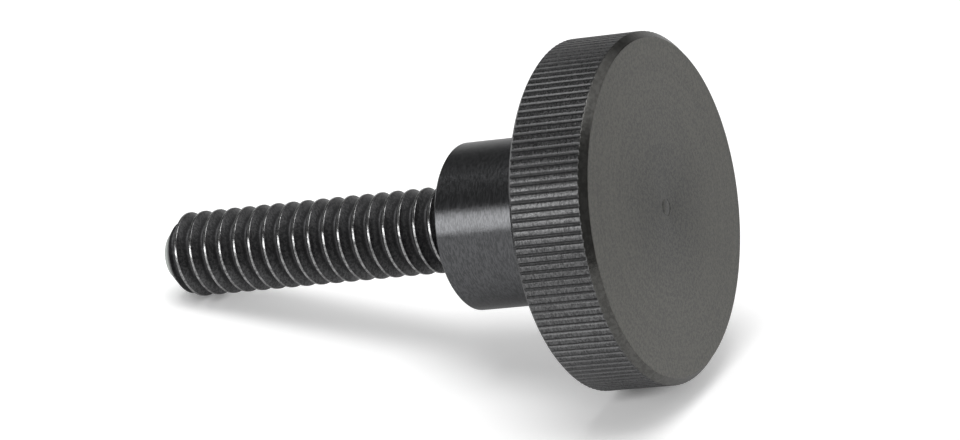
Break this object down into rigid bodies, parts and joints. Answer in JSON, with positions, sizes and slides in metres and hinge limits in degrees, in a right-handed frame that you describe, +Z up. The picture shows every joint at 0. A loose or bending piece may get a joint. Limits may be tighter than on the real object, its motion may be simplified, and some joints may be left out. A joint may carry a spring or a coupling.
{
  "type": "knurled thumb screw",
  "caption": "Thumb screw with a straight-knurled disc head, a plain round collar and a threaded stud, for clamping by hand.",
  "frame": {"origin": "on the surface that the screw lies on, under the middle of its box", "axes": "+X from the stud's tip towards the head, along the surface; +Z up. The screw's own axis lies in the XZ plane and rises 15.75 degrees from tip to head, because it rests on the head's back rim and the first full thread crest"},
  "size_m": [0.0432, 0.0254, 0.0259],
  "materials": {
    "blackened_knob": "black oxide on turned steel, matte on the facing, satin on the collar",
    "blackened_thread": "glossy oiled black oxide"
  },
  "bodies": {
    "root": {"knob": "blackened_knob", "threaded_stud": "blackened_thread"}
  },
  "joints": []
}
